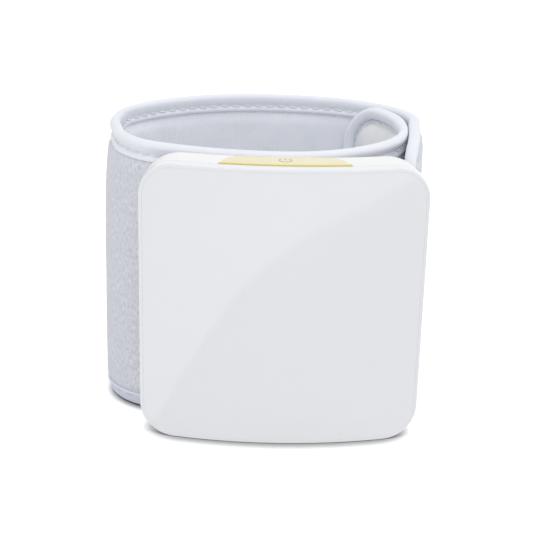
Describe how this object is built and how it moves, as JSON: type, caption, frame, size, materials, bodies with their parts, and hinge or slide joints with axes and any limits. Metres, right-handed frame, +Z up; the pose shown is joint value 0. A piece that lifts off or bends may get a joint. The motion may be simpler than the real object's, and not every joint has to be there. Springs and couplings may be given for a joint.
{
  "type": "wrist blood pressure monitor",
  "caption": "Bowed square-fronted wrist unit with a top start button, pump and valve inside, on a preformed fabric cuff that loops round the wrist and closes with a hook patch.",
  "frame": {"origin": "middle of the flat bottom face that the unit stands on, at half the case's depth", "axes": "+Z up, +X to the right seen from the front, +Y from the front panel back towards the cuff"},
  "size_m": [0.0884, 0.0885, 0.0734],
  "materials": {
    "gloss_front": "polished white moulding",
    "white_case": "satin white moulding",
    "yellow_button": "satin pale yellow moulding",
    "outer_fabric": "brushed loop knit",
    "lining_fabric": "close warp knit",
    "binding_tape": "woven tape",
    "hook_tape": "nylon hooks",
    "foam": "closed-cell foam",
    "pale_rubber": "matt",
    "clear_plastic": "smooth",
    "black_plastic": "moulded",
    "circuit_board": "solder mask",
    "steel": "plated",
    "brass": "turned",
    "cell_foil": "foil pouch"
  },
  "bodies": {
    "root": {"front_panel": "gloss_front", "front_cover": "gloss_front", "rear_case": "white_case", "switch_body": "black_plastic", "main_board": "circuit_board", "controller_chip": "black_plastic", "radio_module": "steel", "pressure_sensor": "clear_plastic", "cell": "cell_foil", "cell_pad": "foam", "charge_board": "circuit_board", "usb_socket": "steel", "usb_tongue": "black_plastic", "pump_motor": "steel", "pump_head": "black_plastic", "pump_diaphragm": "pale_rubber", "air_manifold": "clear_plastic", "valve_body": "black_plastic", "pump_tube": "pale_rubber", "sensor_tube": "pale_rubber", "cuff_tube": "pale_rubber", "air_inlet": "clear_plastic", "inlet_seal": "pale_rubber", "case_screw_1": "steel", "case_screw_2": "steel", "case_screw_3": "steel", "case_screw_4": "steel", "board_screw_1": "steel", "board_screw_2": "steel", "board_screw_3": "steel", "charge_screw_1": "steel", "charge_screw_2": "steel", "cuff_screw_1": "steel", "cuff_screw_2": "steel", "cuff_screw_3": "steel", "cuff_screw_4": "steel", "cuff_outer_fabric": "outer_fabric", "cuff_stiffener": "clear_plastic", "cuff_bladder": "pale_rubber", "cuff_lining": "lining_fabric", "cuff_binding": "binding_tape"},
    "button": {"start_button": "yellow_button"},
    "plunger": {"switch_plunger": "pale_rubber"},
    "rotor": {"pump_rotor": "brass"},
    "armature": {"valve_armature": "steel"},
    "strap": {"strap_outer_fabric": "outer_fabric", "strap_stiffener": "clear_plastic", "strap_padding": "foam", "strap_lining": "lining_fabric", "strap_binding_top": "binding_tape", "strap_binding_bottom": "binding_tape"},
    "tip": {"tip_outer_fabric": "outer_fabric", "tip_lining": "lining_fabric", "tip_binding": "binding_tape", "hook_patch": "hook_tape"}
  },
  "joints": [
    {"name": "button_press", "type": "slide", "parent": "root", "child": "button", "axis": [0, 0, -1], "range_m": [0, 0.0005], "stiffness_N_per_m": 1500},
    {"name": "switch_press", "type": "slide", "parent": "root", "child": "plunger", "axis": [0, 0, -1], "range_m": [0, 0.0005]},
    {"name": "cuff_open", "type": "hinge", "parent": "root", "child": "strap", "pos_m": [-0.04359, 0.06356, 0.0367], "axis": [0, 0, 1], "range_deg": [0, 60], "stiffness_Nm_per_rad": 0.03},
    {"name": "tip_peel", "type": "hinge", "parent": "strap", "child": "tip", "pos_m": [0.02987, 0.07311, 0.0367], "axis": [0, 0, 1], "range_deg": [0, 75], "stiffness_Nm_per_rad": 0.01},
    {"name": "pump_spin", "type": "hinge", "parent": "root", "child": "rotor", "pos_m": [-0.012, 0.00085, 0.02], "axis": [0, 0, 1], "continuous": true},
    {"name": "valve_lift", "type": "slide", "parent": "root", "child": "armature", "axis": [0, 0, 1], "range_m": [0, 0.0006], "stiffness_N_per_m": 300}
  ],
  "couplings": [
    {"joint": "switch_press", "follows": "button_press", "ratio": 1}
  ]
}
